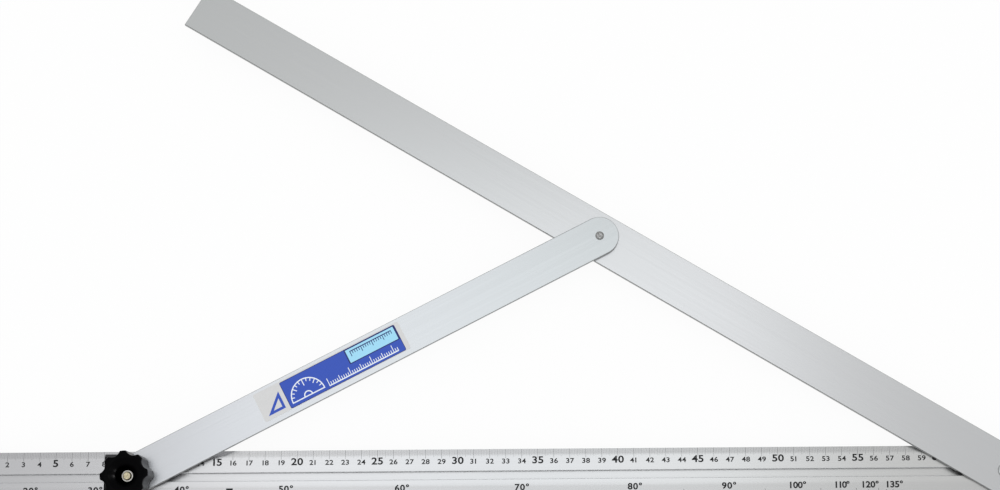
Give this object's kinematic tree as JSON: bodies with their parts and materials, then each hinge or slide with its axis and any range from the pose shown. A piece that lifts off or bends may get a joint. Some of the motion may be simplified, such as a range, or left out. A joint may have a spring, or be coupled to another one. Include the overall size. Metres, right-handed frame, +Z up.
{
  "type": "sliding bevel",
  "caption": "Long sliding bevel: a straight blade hinged over one end of a slotted, graduated rail and propped by a link arm from a carriage that a scalloped knob clamps.",
  "frame": {"origin": "on the rail's underside, at the middle of the rail's length and width", "axes": "+X along the rail towards the blade's pivot, +Y across the rail towards the edge with the length scale, +Z up from the surface that the rail lies on"},
  "size_m": [0.6732, 0.3374, 0.037],
  "materials": {
    "rail_aluminium": "satin silver anodised extrusion",
    "bar_aluminium": "satin silver anodised flat bar",
    "bright_steel": "zinc plated",
    "stud_brass": "yellow passivated",
    "knob_plastic": "smooth moulded black",
    "carriage_plastic": "matt moulded black",
    "washer_nylon": "natural nylon",
    "label_film": "printed film, bare blue and pale blue panels"
  },
  "bodies": {
    "base": {"base_rail": "rail_aluminium", "end_cap_left": "carriage_plastic", "end_cap_right": "carriage_plastic", "pivot_rivet": "bright_steel", "pivot_head_washer": "bright_steel", "pivot_washer": "washer_nylon", "pivot_backing": "bright_steel"},
    "blade": {"blade": "bar_aluminium", "link_rivet": "bright_steel", "link_washer": "washer_nylon"},
    "link": {"link_arm": "bar_aluminium", "label": "label_film"},
    "carriage": {"carriage": "carriage_plastic", "carriage_washer": "washer_nylon", "slot_nut": "bright_steel", "clamp_stud": "stud_brass", "clamp_washer": "bright_steel"},
    "knob": {"knob": "knob_plastic", "knob_insert": "bright_steel"}
  },
  "joints": [
    {"name": "blade_pivot", "type": "hinge", "parent": "base", "child": "blade", "pos_m": [0.3186, 0, 0], "axis": [0, 0, -1], "range_deg": [-31.1, 13.9]},
    {"name": "link_pivot", "type": "hinge", "parent": "blade", "child": "link", "pos_m": [0.06908, 0.15052, 0], "axis": [0, 0, 1], "range_deg": [-58.6, 26.4]},
    {"name": "clamp_pivot", "type": "hinge", "parent": "link", "child": "carriage", "pos_m": [-0.22437, 0, 0], "axis": [0, 0, -1], "range_deg": [-27.5, 12.5]},
    {"name": "knob_turn", "type": "hinge", "parent": "carriage", "child": "knob", "pos_m": [-0.22437, 0, 0], "axis": [0, 0, 1], "range_deg": [0, 360]}
  ],
  "couplings": [
    {"joint": "link_pivot", "follows": "blade_pivot", "ratio": 1.8731},
    {"joint": "clamp_pivot", "follows": "blade_pivot", "ratio": 0.87313}
  ]
}
